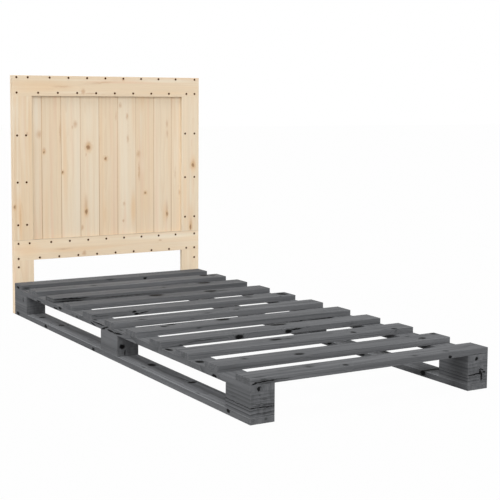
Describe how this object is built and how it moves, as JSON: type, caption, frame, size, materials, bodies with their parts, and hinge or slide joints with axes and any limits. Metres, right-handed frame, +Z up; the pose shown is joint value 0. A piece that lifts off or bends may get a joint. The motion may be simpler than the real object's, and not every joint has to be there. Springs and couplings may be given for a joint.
{
  "type": "bed frame with headboard",
  "caption": "Low single bed base of grey stained pine slats on block runners, with a tall panelled headboard of plain pine planks in a screwed frame.",
  "frame": {"origin": "on the floor, under the middle of the bed's outline", "axes": "+X across the bed to the right seen from the foot, +Y from the foot to the head, +Z up"},
  "size_m": [0.9, 2.03, 1.03],
  "materials": {
    "grey_pine": "grey stain, matt, grain shows",
    "plain_pine": "planed pine, matt clear finish",
    "dark_screw_steel": "dark bronzed screw heads",
    "zinc_steel": "zinc plated"
  },
  "bodies": {
    "root": {"lower_rail_left": "grey_pine", "upper_rail_left": "grey_pine", "head_block_left": "grey_pine", "middle_block_left": "grey_pine", "foot_block_left": "grey_pine", "lower_rail_right": "grey_pine", "upper_rail_right": "grey_pine", "head_block_right": "grey_pine", "middle_block_right": "grey_pine", "foot_block_right": "grey_pine", "slat_01": "grey_pine", "slat_02": "grey_pine", "slat_03": "grey_pine", "slat_04": "grey_pine", "slat_05": "grey_pine", "slat_06": "grey_pine", "slat_07": "grey_pine", "slat_08": "grey_pine", "slat_09": "grey_pine", "slat_10": "grey_pine", "slat_11": "grey_pine", "slat_screws": "zinc_steel", "runner_screws": "zinc_steel", "headboard_top_rail": "plain_pine", "headboard_lower_rail": "plain_pine", "headboard_stile_left": "plain_pine", "headboard_leg_left": "plain_pine", "headboard_post_left": "plain_pine", "headboard_stile_right": "plain_pine", "headboard_leg_right": "plain_pine", "headboard_post_right": "plain_pine", "headboard_plank_1": "plain_pine", "headboard_plank_2": "plain_pine", "headboard_plank_3": "plain_pine", "headboard_plank_4": "plain_pine", "headboard_plank_5": "plain_pine", "headboard_plank_6": "plain_pine", "headboard_plank_7": "plain_pine", "headboard_plank_8": "plain_pine", "headboard_plank_9": "plain_pine", "headboard_rail_screws": "dark_screw_steel", "headboard_stile_screws": "dark_screw_steel", "headboard_leg_screws": "dark_screw_steel", "headboard_bolts": "zinc_steel", "headboard_bolt_inserts": "zinc_steel"}
  },
  "joints": []
}
